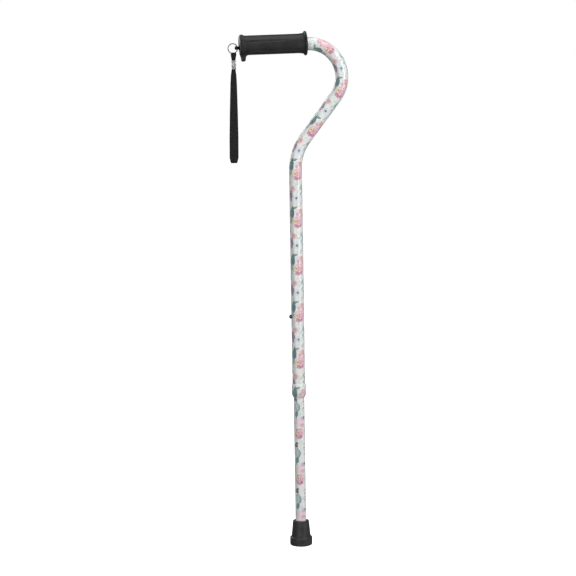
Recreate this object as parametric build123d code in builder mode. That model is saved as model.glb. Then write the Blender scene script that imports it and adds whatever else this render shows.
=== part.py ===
from build123d import *
import os
from math import cos, radians, sin

# Adjustable cane with an offset handle.
# Frame: origin at the centre of the tip's base, +Z up the shaft's axis,
# the handle's free end towards -X, millimetres.

# ---- tubes ----
upper_od = 22.2             # 7/8 inch aluminium tube
lower_od = 19.05            # 3/4 inch aluminium tube
tube_wall = 1.2

# ---- height setting: 35 inches, one of ten from 30 to 39 ----
hole_pitch = 25.4
holes_above_button = 5      # shorter settings
holes_below_button = 4      # longer settings
hole_d = 7.6
button_z = 402.6
upper_bottom = 271.0        # lower end of the upper tube, inside the lock ring
lower_top = button_z + 24.0

# ---- swan neck, from the shaft up ----
bend_start_z = 868.6        # height of the handle tube's axis where the bend ends
handle_tilt = 2.0           # degrees, free end lower
lower_bend_r = 79.0
lower_bend_turn = 37.4
neck_straight = 89.5
upper_bend_r = 56.5
upper_bend_turn = 90 + handle_tilt + lower_bend_turn

# ---- grip, measured forwards from the end of the bend ----
grip_rear = 2.0
grip_front = 116.5
grip_r = 15.7
grip_lift = 1.0             # the grip's own axis above the tube's
rear_rim_r = 19.9
rear_rim_t = 4.0
rear_flare = 9.0
front_rim_r = 17.2
front_rim_t = 6.0
front_wall = 4.5
hook_thickness = 7.0
hook_width = 18.0
hook_depth = 25.0           # below the tube's axis
hook_rounding = 2.6
grip_gap = 0.05

# ---- strap eye and end plug ----
eye_forward = 119.8         # hole's centre, forwards from the end of the bend
eye_drop = 1.5              # the eye's axis below the tube's
eye_head_r = 4.0
eye_hole_r = 2.0
eye_shank_r = 2.5
plug_length = 16.0
plug_gap = 0.05

# ---- split ring ----
ring_centre_x = -103.9
ring_centre_z = 862.1
ring_outer_r = 8.8
ring_wire = 1.5             # across the wire, in the ring's plane
ring_width = 1.8            # along the ring's axis

# ---- wrist strap ----
strap_layer = 1.3
strap_top_half = 4.8
strap_neck_half = 3.2
strap_wide_half = 7.2
crimp_top = 841.9
crimp_bottom = 827.7
strap_bottom = 668.5
strap_x = -102.7
crimp_width = 7.8
crimp_depth = 4.6
crimp_wall = 0.5

# ---- lock ring and its collet ----
ring_low = 261.8
ring_high = 285.4
ring_shoulder = 3.0         # height of the rounded shoulder at its top
lock_outer_r = 12.65
lock_low_r = 10.15
lock_cone_h = 9.0           # height of the rounded taper at its foot
thread_gap = 0.08
lock_lip_r = lower_od / 2 + 0.2
collet_gap = 0.06
collet_top_r = 11.0
collet_low_r = 10.2
collet_low = 264.6
collet_slit = 1.2

# ---- snap button and its spring ----
button_r = 3.6
button_out = 4.1            # how far the dome stands proud of the upper tube
spring_t = 0.6
spring_width = 7.0
spring_arm_x = 7.2          # outer face of each arm from the shaft's axis
spring_drop = 34.0          # from the button down to the fold

# ---- rubber tip ----
tip_height = 43.6
tip_top_r = 14.1
tip_taper_r = 16.8
tip_base_r = 19.5
tip_base_h = 14.8
socket_floor = 8.0
washer_t = 1.5
washer_r = 9.3
washer_hole_r = 3.0
tread_depth = 1.2

upper_r = upper_od / 2
lower_r = lower_od / 2
upper_bore = upper_r - tube_wall
lower_bore = lower_r - tube_wall

# End of the bend, worked back down both bends to the shaft.
lean = radians(lower_bend_turn)
tilt = radians(handle_tilt)
neck_rise = (
    lower_bend_r * sin(lean)
    + neck_straight * cos(lean)
    + upper_bend_r * (sin(lean) + cos(tilt))
)
shaft_top = bend_start_z - neck_rise
bend_start_x = (
    lower_bend_r * (1 - cos(lean))
    + neck_straight * sin(lean)
    - upper_bend_r * (cos(lean) + sin(tilt))
)
# Sketch plane of the handle: x forwards along the tube, y up.
handle_side = Plane(
    origin=(bend_start_x, 0, bend_start_z),
    x_dir=(-cos(tilt), 0, -sin(tilt)),
    z_dir=(0, 1, 0),
)
tube_front = grip_front - front_wall - 0.1
button_zs = [
    button_z + n * hole_pitch for n in range(-holes_below_button, holes_above_button + 1)
]


def handle_cross(forward):
    """Plane square to the handle tube, looking along it to the free end."""
    return Plane(
        origin=handle_side.from_local_coords((forward, 0, 0)),
        x_dir=(0, 1, 0),
        z_dir=handle_side.x_dir,
    )


def save(piece, name):
    piece.label = name
    export_step(piece, f"parts/{name}.step")


os.makedirs("parts", exist_ok=True)

# ---- upper tube: one bent tube with the row of adjusting holes at its front ----
with BuildPart() as upper_tube:
    with BuildLine(Plane.XZ):
        shaft = Line((0, upper_bottom), (0, shaft_top))
        low = JernArc(shaft @ 1, shaft % 1, lower_bend_r, -lower_bend_turn)
        rise = Line(low @ 1, low @ 1 + (low % 1) * neck_straight)
        high = JernArc(rise @ 1, rise % 1, upper_bend_r, upper_bend_turn)
        Line(high @ 1, high @ 1 + (high % 1) * tube_front)
    with BuildSketch(Plane.XY.offset(upper_bottom)):
        Circle(upper_r)
        Circle(upper_bore, mode=Mode.SUBTRACT)
    sweep()
    for z in button_zs:
        with BuildSketch(Plane(origin=(0, 0, z), z_dir=(-1, 0, 0))):
            Circle(hole_d / 2)
        extrude(amount=upper_od, mode=Mode.SUBTRACT)
save(upper_tube.part, "upper_tube")

# ---- lower tube: slides in the upper one ----
with BuildPart() as lower_tube:
    with BuildSketch(Plane.XY.offset(socket_floor + 0.05)):
        Circle(lower_r)
        Circle(lower_bore, mode=Mode.SUBTRACT)
    extrude(amount=lower_top - socket_floor - 0.05)
    with BuildSketch(Plane(origin=(0, 0, button_z), z_dir=(-1, 0, 0))):
        Circle(button_r + 0.15)
    extrude(amount=lower_od, mode=Mode.SUBTRACT)
save(lower_tube.part, "lower_tube")

# ---- finger hook under the grip's front, joined to the grip below ----
hook_front = grip_front - 4.2
hook_rear = hook_front - hook_thickness
hook_end = hook_depth - hook_thickness / 2
with BuildPart() as grip_hook:
    with BuildSketch(handle_side):
        with BuildLine():
            Line((grip_front - 1, -2), (grip_front - 0.2, -5))
            Line((grip_front - 0.2, -5), (hook_front + 0.3, -hook_end + 4))
            Line((hook_front + 0.3, -hook_end + 4), (hook_front, -hook_end))
            ThreePointArc(
                (hook_front, -hook_end),
                (hook_front - hook_thickness / 2, -hook_depth),
                (hook_rear, -hook_end),
            )
            Line((hook_rear, -hook_end), (hook_rear, -18.5))
            ThreePointArc((hook_rear, -18.5), (hook_rear - 1.6, -14.8), (hook_rear - 5.5, -13.2))
            Line((hook_rear - 5.5, -13.2), (hook_rear - 5.5, -2))
            Line((hook_rear - 5.5, -2), (grip_front - 1, -2))
        make_face()
    extrude(amount=hook_width / 2, both=True)
    hook_sides = grip_hook.faces().sort_by(Axis.Y)
    fillet(hook_sides[0].edges() + hook_sides[-1].edges(), hook_rounding)

# ---- hand grip: turned body, hook under its front, bore from the rear ----
grip_axis = Axis(handle_side.from_local_coords((0, grip_lift, 0)), handle_side.x_dir)
rim_top = grip_lift + rear_rim_r
body_top = grip_lift + grip_r
front_top = grip_lift + front_rim_r
with BuildPart() as hand_grip:
    with BuildSketch(handle_side):
        with BuildLine():
            Line((grip_rear, grip_lift), (grip_rear, rim_top - 1.2))
            ThreePointArc(
                (grip_rear, rim_top - 1.2),
                (grip_rear + rear_rim_t / 2, rim_top),
                (grip_rear + rear_rim_t, rim_top - 1.2),
            )
            Spline(
                (grip_rear + rear_rim_t, rim_top - 1.2),
                (grip_rear + rear_rim_t + rear_flare, body_top),
                tangents=[(0.25, -1), (1, 0)],
            )
            Line(
                (grip_rear + rear_rim_t + rear_flare, body_top),
                (grip_front - front_rim_t - 5, body_top),
            )
            Spline(
                (grip_front - front_rim_t - 5, body_top),
                (grip_front - front_rim_t, front_top),
                tangents=[(1, 0), (1, 0)],
            )
            Line((grip_front - front_rim_t, front_top), (grip_front - 1.5, front_top))
            TangentArc(
                (grip_front - 1.5, front_top), (grip_front, front_top - 1.5), tangent=(1, 0)
            )
            Line((grip_front, front_top - 1.5), (grip_front, grip_lift))
            Line((grip_front, grip_lift), (grip_rear, grip_lift))
        make_face()
    revolve(axis=grip_axis)
    add(grip_hook.part)
    with BuildSketch(handle_cross(grip_rear - 1)):
        Circle(upper_r + grip_gap)
    extrude(amount=grip_front - front_wall - grip_rear + 1, mode=Mode.SUBTRACT)
    with BuildSketch(handle_cross(grip_front - front_wall - 1)):
        with Locations((0, eye_drop)):
            Circle(eye_shank_r + 0.3)
    extrude(amount=front_wall + 2, mode=Mode.SUBTRACT)
save(hand_grip.part, "hand_grip")

# ---- end plug: closes the handle tube and holds the strap eye ----
plug_rear = tube_front - plug_length
with BuildPart() as handle_end_plug:
    with BuildSketch(handle_cross(plug_rear)):
        Circle(upper_bore - plug_gap)
        with Locations((0, eye_drop)):
            Circle(eye_shank_r + plug_gap, mode=Mode.SUBTRACT)
    extrude(amount=plug_length)
    with BuildSketch(handle_cross(plug_rear)):
        Circle(upper_bore - 2.2)
    extrude(amount=5.0, mode=Mode.SUBTRACT)
save(handle_end_plug.part, "handle_end_plug")

# ---- strap eye: headed stud with a ball end and an upright hole ----
eye_side = Plane(
    origin=handle_side.from_local_coords((0, -eye_drop, 0)),
    x_dir=handle_side.x_dir,
    z_dir=(0, 1, 0),
)
eye_centre = eye_side.from_local_coords((eye_forward, 0, 0))
eye_ball = eye_forward + 0.9
with BuildPart() as strap_eye:
    with BuildSketch(eye_side):
        with BuildLine():
            Line((plug_rear + 3.2, 0), (plug_rear + 3.2, 4.2))
            Line((plug_rear + 3.2, 4.2), (plug_rear + 4.9, 4.2))
            Line((plug_rear + 4.9, 4.2), (plug_rear + 4.9, eye_shank_r))
            Line((plug_rear + 4.9, eye_shank_r), (grip_front + 0.05, eye_shank_r))
            Line((grip_front + 0.05, eye_shank_r), (grip_front + 0.05, eye_head_r))
            Line((grip_front + 0.05, eye_head_r), (grip_front + 0.9, eye_head_r))
            Line((grip_front + 0.9, eye_head_r), (grip_front + 1.5, eye_head_r - 0.7))
            Line((grip_front + 1.5, eye_head_r - 0.7), (eye_ball, eye_head_r))
            CenterArc((eye_ball, 0), eye_head_r, 90, -90)
            Line((eye_ball + eye_head_r, 0), (plug_rear + 3.2, 0))
        make_face()
    revolve(axis=Axis(eye_side.origin, eye_side.x_dir))
    with BuildSketch(Plane(origin=eye_centre, x_dir=(1, 0, 0), z_dir=(0, -1, 0))):
        with BuildLine():
            Polyline(
                (0, -4.6),
                (eye_hole_r + 1.7, -4.6),
                (eye_hole_r, -1.2),
                (eye_hole_r, 1.2),
                (eye_hole_r + 1.7, 4.6),
                (0, 4.6),
            )
            Line((0, 4.6), (0, -4.6))
        make_face()
    revolve(axis=Axis(eye_centre, (0, 0, 1)), mode=Mode.SUBTRACT)
save(strap_eye.part, "strap_eye")

# ---- split ring: outer form of its two turns ----
ring_mean_r = ring_outer_r - ring_wire / 2
with BuildPart() as split_ring:
    with BuildSketch(Plane.XY.offset(ring_centre_z)):
        with Locations((ring_centre_x + ring_mean_r, 0)):
            RectangleRounded(ring_wire, ring_width, 0.4)
    revolve(axis=Axis((ring_centre_x, 0, ring_centre_z), (0, 1, 0)))
save(split_ring.part, "split_ring")

# ---- wrist strap: two layers of webbing, folded round the ring and at the bottom ----
loop_inner_r = ring_outer_r - ring_wire - 0.3
loop_outer_r = ring_outer_r + 0.3
with BuildPart() as wrist_strap:
    with BuildSketch(Plane.XZ):
        with BuildLine():
            top = ring_centre_z - 4.8
            right = Polyline(
                (strap_x + strap_top_half - 0.6, top),
                (strap_x + strap_top_half, top - 4),
                (strap_x + strap_neck_half, crimp_top),
                (strap_x + strap_neck_half, crimp_bottom),
                (strap_x + strap_neck_half + 1.2, crimp_bottom - 4),
                (strap_x + strap_wide_half - 1.0, crimp_bottom - 70),
                (strap_x + strap_wide_half, strap_bottom + 20),
                (strap_x + strap_wide_half, strap_bottom + 8),
                (strap_x + strap_wide_half - 2.2, strap_bottom),
            )
            mirror(right, about=Plane.YZ.offset(strap_x))
            Line((strap_x + strap_top_half - 0.6, top), (strap_x - strap_top_half + 0.6, top))
            Line(right @ 1, (strap_x - strap_wide_half + 2.2, strap_bottom))
        make_face()
    extrude(amount=strap_layer + 0.2, both=True)
    with BuildSketch(Plane.XZ):
        with Locations((strap_x, ring_centre_z - 10.1)):
            Trapezoid(2 * strap_top_half, 10.6, 83)
    extrude(amount=strap_layer + 0.9, both=True)
    with BuildSketch(Plane.XZ):
        with Locations((ring_centre_x, ring_centre_z)):
            Circle(loop_inner_r - strap_layer + 0.2)
    extrude(amount=10, both=True, mode=Mode.SUBTRACT)
    with BuildSketch(Plane.XZ):
        with Locations((ring_centre_x, ring_centre_z)):
            Circle(loop_outer_r)
            Circle(loop_inner_r, mode=Mode.SUBTRACT)
    extrude(amount=ring_width / 2 + 0.3, both=True, mode=Mode.SUBTRACT)
save(wrist_strap.part, "wrist_strap")

# ---- strap crimp: folded metal ferrule with a seam down its front ----
with BuildPart() as strap_crimp:
    with BuildSketch(Plane.XY.offset(crimp_bottom)):
        with Locations((strap_x, 0)):
            RectangleRounded(crimp_width, crimp_depth, 1.6)
            RectangleRounded(
                crimp_width - 2 * crimp_wall, crimp_depth - 2 * crimp_wall, 0.3, mode=Mode.SUBTRACT
            )
        with Locations((strap_x, -crimp_depth / 2)):
            Rectangle(0.5, 2 * crimp_wall, mode=Mode.SUBTRACT)
    extrude(amount=crimp_top - crimp_bottom)
save(strap_crimp.part, "strap_crimp")

# ---- snap button: dome, shank and rivet through the spring's front arm ----
shoulder_x = upper_r + button_out - button_r
with BuildPart() as snap_button:
    with BuildSketch(Plane(origin=(0, 0, button_z), x_dir=(-1, 0, 0), z_dir=(0, 1, 0))):
        with BuildLine():
            Line((spring_arm_x - spring_t - 0.9, 0), (spring_arm_x - spring_t - 0.9, 2.2))
            Line((spring_arm_x - spring_t - 0.9, 2.2), (spring_arm_x - spring_t - 0.05, 2.2))
            Line((spring_arm_x - spring_t - 0.05, 2.2), (spring_arm_x - spring_t - 0.05, 1.5))
            Line((spring_arm_x - spring_t - 0.05, 1.5), (spring_arm_x + 0.05, 1.5))
            Line((spring_arm_x + 0.05, 1.5), (spring_arm_x + 0.05, button_r))
            Line((spring_arm_x + 0.05, button_r), (shoulder_x, button_r))
            CenterArc((shoulder_x, 0), button_r, 90, -90)
            Line((shoulder_x + button_r, 0), (spring_arm_x - spring_t - 0.9, 0))
        make_face()
    revolve(axis=Axis((0, 0, button_z), (-1, 0, 0)))
save(snap_button.part, "snap_button")

# ---- leaf spring: strip folded to a V, held against both sides of the lower tube ----
spring_mid = spring_arm_x - spring_t / 2
with BuildPart() as leaf_spring:
    with BuildLine(Plane.XZ):
        front_arm = Line((-spring_mid, button_z + 7), (-spring_mid, button_z - spring_drop))
        fold = JernArc(front_arm @ 1, front_arm % 1, spring_mid, 180)
        Line(fold @ 1, (spring_mid, button_z - 4))
    arm_end = Plane(origin=(-spring_mid, 0, button_z + 7), x_dir=(1, 0, 0), z_dir=(0, 0, -1))
    with BuildSketch(arm_end):
        Rectangle(spring_t, spring_width)
    sweep()
    with BuildSketch(Plane(origin=(0, 0, button_z), z_dir=(-1, 0, 0))):
        Circle(1.6)
    extrude(amount=10, mode=Mode.SUBTRACT)
save(leaf_spring.part, "leaf_spring")

# ---- lock ring: threaded over the upper tube's end, cone at its foot ----
seat_r = upper_r + thread_gap
with BuildPart() as lock_ring:
    with BuildSketch(Plane.XZ):
        with BuildLine():
            Line((seat_r, ring_high), (seat_r + 0.4, ring_high))
            TangentArc(
                (lock_outer_r, ring_high - ring_shoulder), (seat_r + 0.4, ring_high), tangent=(0, 1)
            )
            Line((lock_outer_r, ring_high - ring_shoulder), (lock_outer_r, ring_low + lock_cone_h))
            TangentArc(
                (lock_outer_r, ring_low + lock_cone_h), (lock_low_r, ring_low), tangent=(0, -1)
            )
            Polyline(
                (lock_low_r, ring_low),
                (lock_lip_r, ring_low),
                (lock_lip_r, collet_low - 0.1),
                (collet_low_r + 0.12, collet_low - 0.1),
                (seat_r, upper_bottom - 0.2),
                (seat_r, ring_high),
            )
        make_face()
    revolve(axis=Axis.Z)
save(lock_ring.part, "lock_ring")

# ---- lock collet: split cone squeezed on to the lower tube ----
with BuildPart() as lock_collet:
    with BuildSketch(Plane.XZ):
        with BuildLine():
            Polyline(
                (lower_r + collet_gap, collet_low),
                (collet_low_r, collet_low),
                (collet_top_r, upper_bottom - 0.3),
                (lower_r + collet_gap, upper_bottom - 0.3),
                (lower_r + collet_gap, collet_low),
            )
        make_face()
    revolve(axis=Axis.Z)
    with BuildSketch(Plane.XY.offset(collet_low)):
        with Locations((lower_r + 1, 0)):
            Rectangle(4, collet_slit)
    extrude(amount=upper_bottom - collet_low, mode=Mode.SUBTRACT)
save(lock_collet.part, "lock_collet")

# ---- rubber tip: socket, tapered neck, wide base with ring treads ----
with BuildPart() as rubber_tip:
    with BuildSketch(Plane.XZ):
        with BuildLine():
            Line((0, 0), (tip_base_r - 3, 0))
            ThreePointArc(
                (tip_base_r - 3, 0), (tip_base_r - 0.75, 0.9), (tip_base_r - 0.1, 3.2)
            )
            Line((tip_base_r - 0.1, 3.2), (tip_base_r, tip_base_h - 1.6))
            ThreePointArc(
                (tip_base_r, tip_base_h - 1.6),
                (tip_base_r - 0.5, tip_base_h - 0.45),
                (tip_base_r - 1.7, tip_base_h),
            )
            Line((tip_base_r - 1.7, tip_base_h), (tip_taper_r + 0.5, tip_base_h + 0.2))
            Line((tip_taper_r + 0.5, tip_base_h + 0.2), (tip_taper_r, tip_base_h + 0.9))
            Line((tip_taper_r, tip_base_h + 0.9), (tip_top_r, tip_height - 1))
            ThreePointArc(
                (tip_top_r, tip_height - 1),
                (tip_top_r - 0.45, tip_height - 0.2),
                (tip_top_r - 1.3, tip_height),
            )
            Line((tip_top_r - 1.3, tip_height), (0, tip_height))
            Line((0, tip_height), (0, 0))
        make_face()
    revolve(axis=Axis.Z)
    with BuildSketch(Plane.XY.offset(socket_floor - washer_t)):
        Circle(lower_r + 0.02)
    extrude(amount=tip_height, mode=Mode.SUBTRACT)
    with BuildSketch(Plane.XY):
        for groove_r in (7.0, 10.0, 13.0):
            Circle(groove_r + 0.6)
            Circle(groove_r - 0.6, mode=Mode.SUBTRACT)
    extrude(amount=tread_depth, mode=Mode.SUBTRACT)
save(rubber_tip.part, "rubber_tip")

# ---- tip washer: keeps the tube's end from cutting through the rubber ----
with BuildPart() as tip_washer:
    with BuildSketch(Plane.XY.offset(socket_floor - washer_t)):
        Circle(washer_r)
        Circle(washer_hole_r, mode=Mode.SUBTRACT)
    extrude(amount=washer_t)
save(tip_washer.part, "tip_washer")
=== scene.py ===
from math import atan2, cos, pi, radians, sin, sqrt

import bmesh
import bpy
from bpy.props import FloatProperty, FloatVectorProperty, PointerProperty
from mathutils import Matrix, Vector


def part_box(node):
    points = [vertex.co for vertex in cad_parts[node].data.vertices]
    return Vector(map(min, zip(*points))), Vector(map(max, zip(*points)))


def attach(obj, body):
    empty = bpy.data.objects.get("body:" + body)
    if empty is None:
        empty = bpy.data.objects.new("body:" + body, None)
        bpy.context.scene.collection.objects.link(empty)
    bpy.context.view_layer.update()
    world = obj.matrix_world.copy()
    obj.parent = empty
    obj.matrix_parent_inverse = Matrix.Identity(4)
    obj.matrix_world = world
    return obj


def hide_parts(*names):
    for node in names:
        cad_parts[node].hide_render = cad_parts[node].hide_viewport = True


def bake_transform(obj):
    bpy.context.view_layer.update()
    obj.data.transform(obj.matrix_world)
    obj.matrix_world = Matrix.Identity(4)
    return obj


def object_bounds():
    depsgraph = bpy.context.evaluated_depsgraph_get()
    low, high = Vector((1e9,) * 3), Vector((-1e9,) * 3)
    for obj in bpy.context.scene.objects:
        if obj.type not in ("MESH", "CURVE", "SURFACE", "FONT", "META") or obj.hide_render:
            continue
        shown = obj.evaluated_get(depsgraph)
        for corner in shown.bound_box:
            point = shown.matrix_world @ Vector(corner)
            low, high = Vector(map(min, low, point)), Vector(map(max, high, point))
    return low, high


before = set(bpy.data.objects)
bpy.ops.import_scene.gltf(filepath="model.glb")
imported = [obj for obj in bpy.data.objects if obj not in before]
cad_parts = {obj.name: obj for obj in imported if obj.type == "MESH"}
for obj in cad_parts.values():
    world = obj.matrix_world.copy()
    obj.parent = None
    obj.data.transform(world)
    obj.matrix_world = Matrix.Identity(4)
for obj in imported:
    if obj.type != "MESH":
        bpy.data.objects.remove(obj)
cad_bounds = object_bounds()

bl_info = {
    "name": "Printed Offset Cane",
    "version": (1, 0, 0),
    "blender": (4, 5, 0),
    "location": "3D View > Sidebar > Cane",
    "description": "Finishes the packed model of a height-adjustable cane with a floral print",
    "category": "Object",
}

MM = 0.001
FILM_GLOSS = {"Coat Weight": 0.22, "Coat Roughness": 0.14, "IOR": 1.46}


# ---------------------------------------------------------------- settings


def linear(code):
    """A six-figure display colour as three linear values."""
    values = (int(code[i : i + 2], 16) / 255 for i in (0, 2, 4))
    return tuple(v / 12.92 if v < 0.04045 else ((v + 0.055) / 1.055) ** 2.4 for v in values)


def colour(name, description, code):
    return FloatVectorProperty(
        name=name, description=description, default=linear(code), subtype="COLOR", min=0, max=1
    )


def length(name, description, millimetres):
    return FloatProperty(
        name=name,
        description=description,
        default=millimetres * MM,
        precision=5,
        subtype="DISTANCE",
        unit="LENGTH",
    )


def angle(name, description, degrees):
    return FloatProperty(
        name=name,
        description=description,
        default=radians(degrees),
        subtype="ANGLE",
        unit="ROTATION",
    )


def share(name, description, value):
    return FloatProperty(
        name=name, description=description, default=value, min=0, max=1, subtype="FACTOR"
    )


def power(name, description, watts):
    return FloatProperty(name=name, description=description, default=watts, min=0, unit="POWER")


class CanePrint(bpy.types.PropertyGroup):
    """Colours and repeat of the floral film."""

    repeat: length("Repeat", "Height after which the print starts again", 81.2)
    width: length("Width", "Width of the film that is wrapped round a tube", 70)
    upper_heart: length("Upper heart", "Height of a peony's heart on the upper tube", 404.8)
    lower_heart: length("Lower heart", "Height of a peony's heart on the lower tube", 200.8)
    ring_shift: length("Ring shift", "How far the lock ring's film is moved up the print", 13)
    ground: colour("Ground", "White of the film", "F6F6F4")
    sage: colour("Sage wash", "Grey-green strokes between the flowers", "B7CBC7")
    mint: colour("Mint wash", "Pale green-blue wash between the flowers", "DFEDEA")
    blush: colour("Blush wash", "Pale pink wash round the flowers", "F5E0E3")
    petal: colour("Petal", "Outer edge of the pink petals", "F6DAE2")
    petal_deep: colour("Petal base", "Inner part of the pink petals", "DCA2B5")
    rose: colour("Rose", "Shaded petals under a peony's heart", "BC6A8E")
    heart: colour("Heart", "Cream-yellow heart of a flower", "F0D089")
    seed: colour("Seed", "Dark point in a heart", "5E4524")
    peach: colour("Peach", "Buds and small blossoms", "DDAFAC")
    mauve: colour("Mauve", "Plum-coloured petals", "A48799")
    lilac: colour("Lilac", "Pale violet petals", "CBBDD4")
    violet: colour("Violet", "Small violet berries", "413C7A")
    sky: colour("Sky", "Petals of the pale blue flowers", "D9E6EE")
    slate: colour("Slate", "Heart of the pale blue flowers", "56647C")
    leaf_dark: colour("Leaf shade", "Shaded side of the leaves", "6A8286")
    leaf: colour("Leaf", "Middle tone of the leaves", "92AEAE")
    leaf_light: colour("Leaf light", "Lit side of the leaves", "C8DAD9")
    ink: colour("Ink", "Nearly black stems and berries", "27302F")


class CaneNeck(bpy.types.PropertyGroup):
    """Bends of the upper tube, which the film follows."""

    low_radius: length("Lower bend", "Radius of the bend out of the shaft", 79)
    rise: length("Rise", "Straight length between the bends", 89.5)
    high_radius: length("Upper bend", "Radius of the bend into the handle", 56.5)
    turn: angle("Turn", "Angle of the bend out of the shaft", 37.4)
    tilt: angle("Handle tilt", "How far the handle falls towards its free end", 2)
    tube_radius: length("Tube radius", "Outer radius of the upper tube", 11.1)
    film_depth: length("Film depth", "Depth under the outer surface where bare metal starts", 0.3)


class CaneGrip(bpy.types.PropertyGroup):
    """Moulded rubber grip."""

    rubber: colour("Rubber", "Colour of the grip's rubber", "242425")
    tip_rubber: colour("Tip rubber", "Colour of the tip's rubber", "303031")
    radius: length("Radius", "Radius of the grip's body", 16.5)
    rear_rim: length("Rear rim", "Radius of the rim against the bend", 20.9)
    front_rim: length("Front rim", "Radius of the rim at the free end", 18.4)
    rear: length("Rear end", "Start of the grip, measured from the upper bend", 2)
    front: length("Front end", "End of the grip, measured from the upper bend", 116.5)
    lift: length("Lift", "Height of the grip's own axis above the tube's, at its rear end", 1.1)
    rise: length("Rise", "How much more the grip's axis is lifted at its free end", 1.2)
    hook_thickness: length("Hook thickness", "Thickness of the finger hook", 7)
    hook_width: length("Hook width", "Width of the finger hook", 18)
    hook_depth: length("Hook depth", "Depth of the finger hook below the tube's axis", 25)
    crease_depth: length("Crease depth", "Depth of the moulded lines along the grip", 1.9)
    voxel: length("Voxel", "Cell in which the hook is blended into the body", 0.65)


class CaneStrap(bpy.types.PropertyGroup):
    """Wrist strap, its crimp and the split ring."""

    webbing: colour("Webbing", "Colour of the strap's nylon", "1B1B1D")
    half_width: length("Half width", "Half the width of the webbing", 7.6)
    neck_half: length("Neck half width", "Half the width of the webbing in the crimp", 3.1)
    loop_half: length("Loop half width", "Half the width of the webbing under the ring", 4.7)
    thickness: length("Thickness", "Thickness of one layer of webbing", 1.0)
    layer_gap: length("Layer gap", "Distance between the middles of the two layers", 1.4)
    sway: length("Sway", "How far the foot of the strap hangs towards the free end", 2.6)
    wire: length("Ring wire", "Width of the ring's flattened wire", 1.5)
    crimp_wall: length("Crimp wall", "Thickness of the crimp's sheet", 0.5)


class CaneStage(bpy.types.PropertyGroup):
    """Floor, light and camera."""

    floor: colour("Floor", "Colour of the studio floor", "F7F7F7")
    distance: length("Distance", "Camera to the cane's foot", 3000)
    height: length("Height", "Camera above the floor", 794)
    swing: angle("Swing", "Camera turned round towards the free end", 8)
    pitch: angle("Pitch", "Camera looking down", 6.5)
    roll: angle("Roll", "Camera turned about its own axis", -0.92)
    offset: length("Offset", "Camera moved to its right", -16.1)
    lens: FloatProperty(
        name="Lens",
        description="Focal length in millimetres",
        default=109.56,
        subtype="DISTANCE_CAMERA",
    )
    key: power("Key", "Power of the key light", 27)
    fill: power("Fill", "Power of the wide light in front", 30)
    top: power("Top", "Power of the light overhead", 24)
    back: power("Back", "Power of the light behind", 22)
    floor_glow: share("Floor glow", "Light that the floor gives", 1.0)
    sky: share("Sky", "Strength of the light from all round", 0.17)
    mirrored_sky: share("Mirrored sky", "Strength of the surroundings in reflections", 0.1)


# ---------------------------------------------------------------- shader maths


class Value:
    """One socket of a shader tree. Python's operators on it add Math nodes."""

    def __init__(self, graph, socket):
        self.graph = graph
        self.socket = socket

    def __add__(self, other):
        return self.graph.math("ADD", self, other)

    def __sub__(self, other):
        return self.graph.math("SUBTRACT", self, other)

    def __rsub__(self, other):
        return self.graph.math("SUBTRACT", other, self)

    def __mul__(self, other):
        return self.graph.math("MULTIPLY", self, other)

    def __truediv__(self, other):
        return self.graph.math("DIVIDE", self, other)

    def __rtruediv__(self, other):
        return self.graph.math("DIVIDE", other, self)

    def __abs__(self):
        return self.graph.math("ABSOLUTE", self)

    def __lt__(self, other):
        return self.graph.math("LESS_THAN", self, other)

    def __gt__(self, other):
        return self.graph.math("GREATER_THAN", self, other)

    __radd__ = __add__
    __rmul__ = __mul__

    def sin(self):
        return self.graph.math("SINE", self)

    def cos(self):
        return self.graph.math("COSINE", self)

    def root(self):
        return self.graph.math("SQRT", self)

    def atan2(self, other):
        return self.graph.math("ARCTAN2", self, other)

    def most(self, other):
        return self.graph.math("MAXIMUM", self, other)

    def least(self, other):
        return self.graph.math("MINIMUM", self, other)

    def rise(self, start, end):
        """A smooth step from 0 at start to 1 at end; it falls where start is above end."""
        return self.graph.add(
            "ShaderNodeMapRange",
            {"interpolation_type": "SMOOTHSTEP", "clamp": False},
            {"Value": self, "From Min": start, "From Max": end},
        )

    def pick(self, low, high):
        """low where this is 0, and high where it is 1."""
        return low + (high - low) * self


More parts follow.
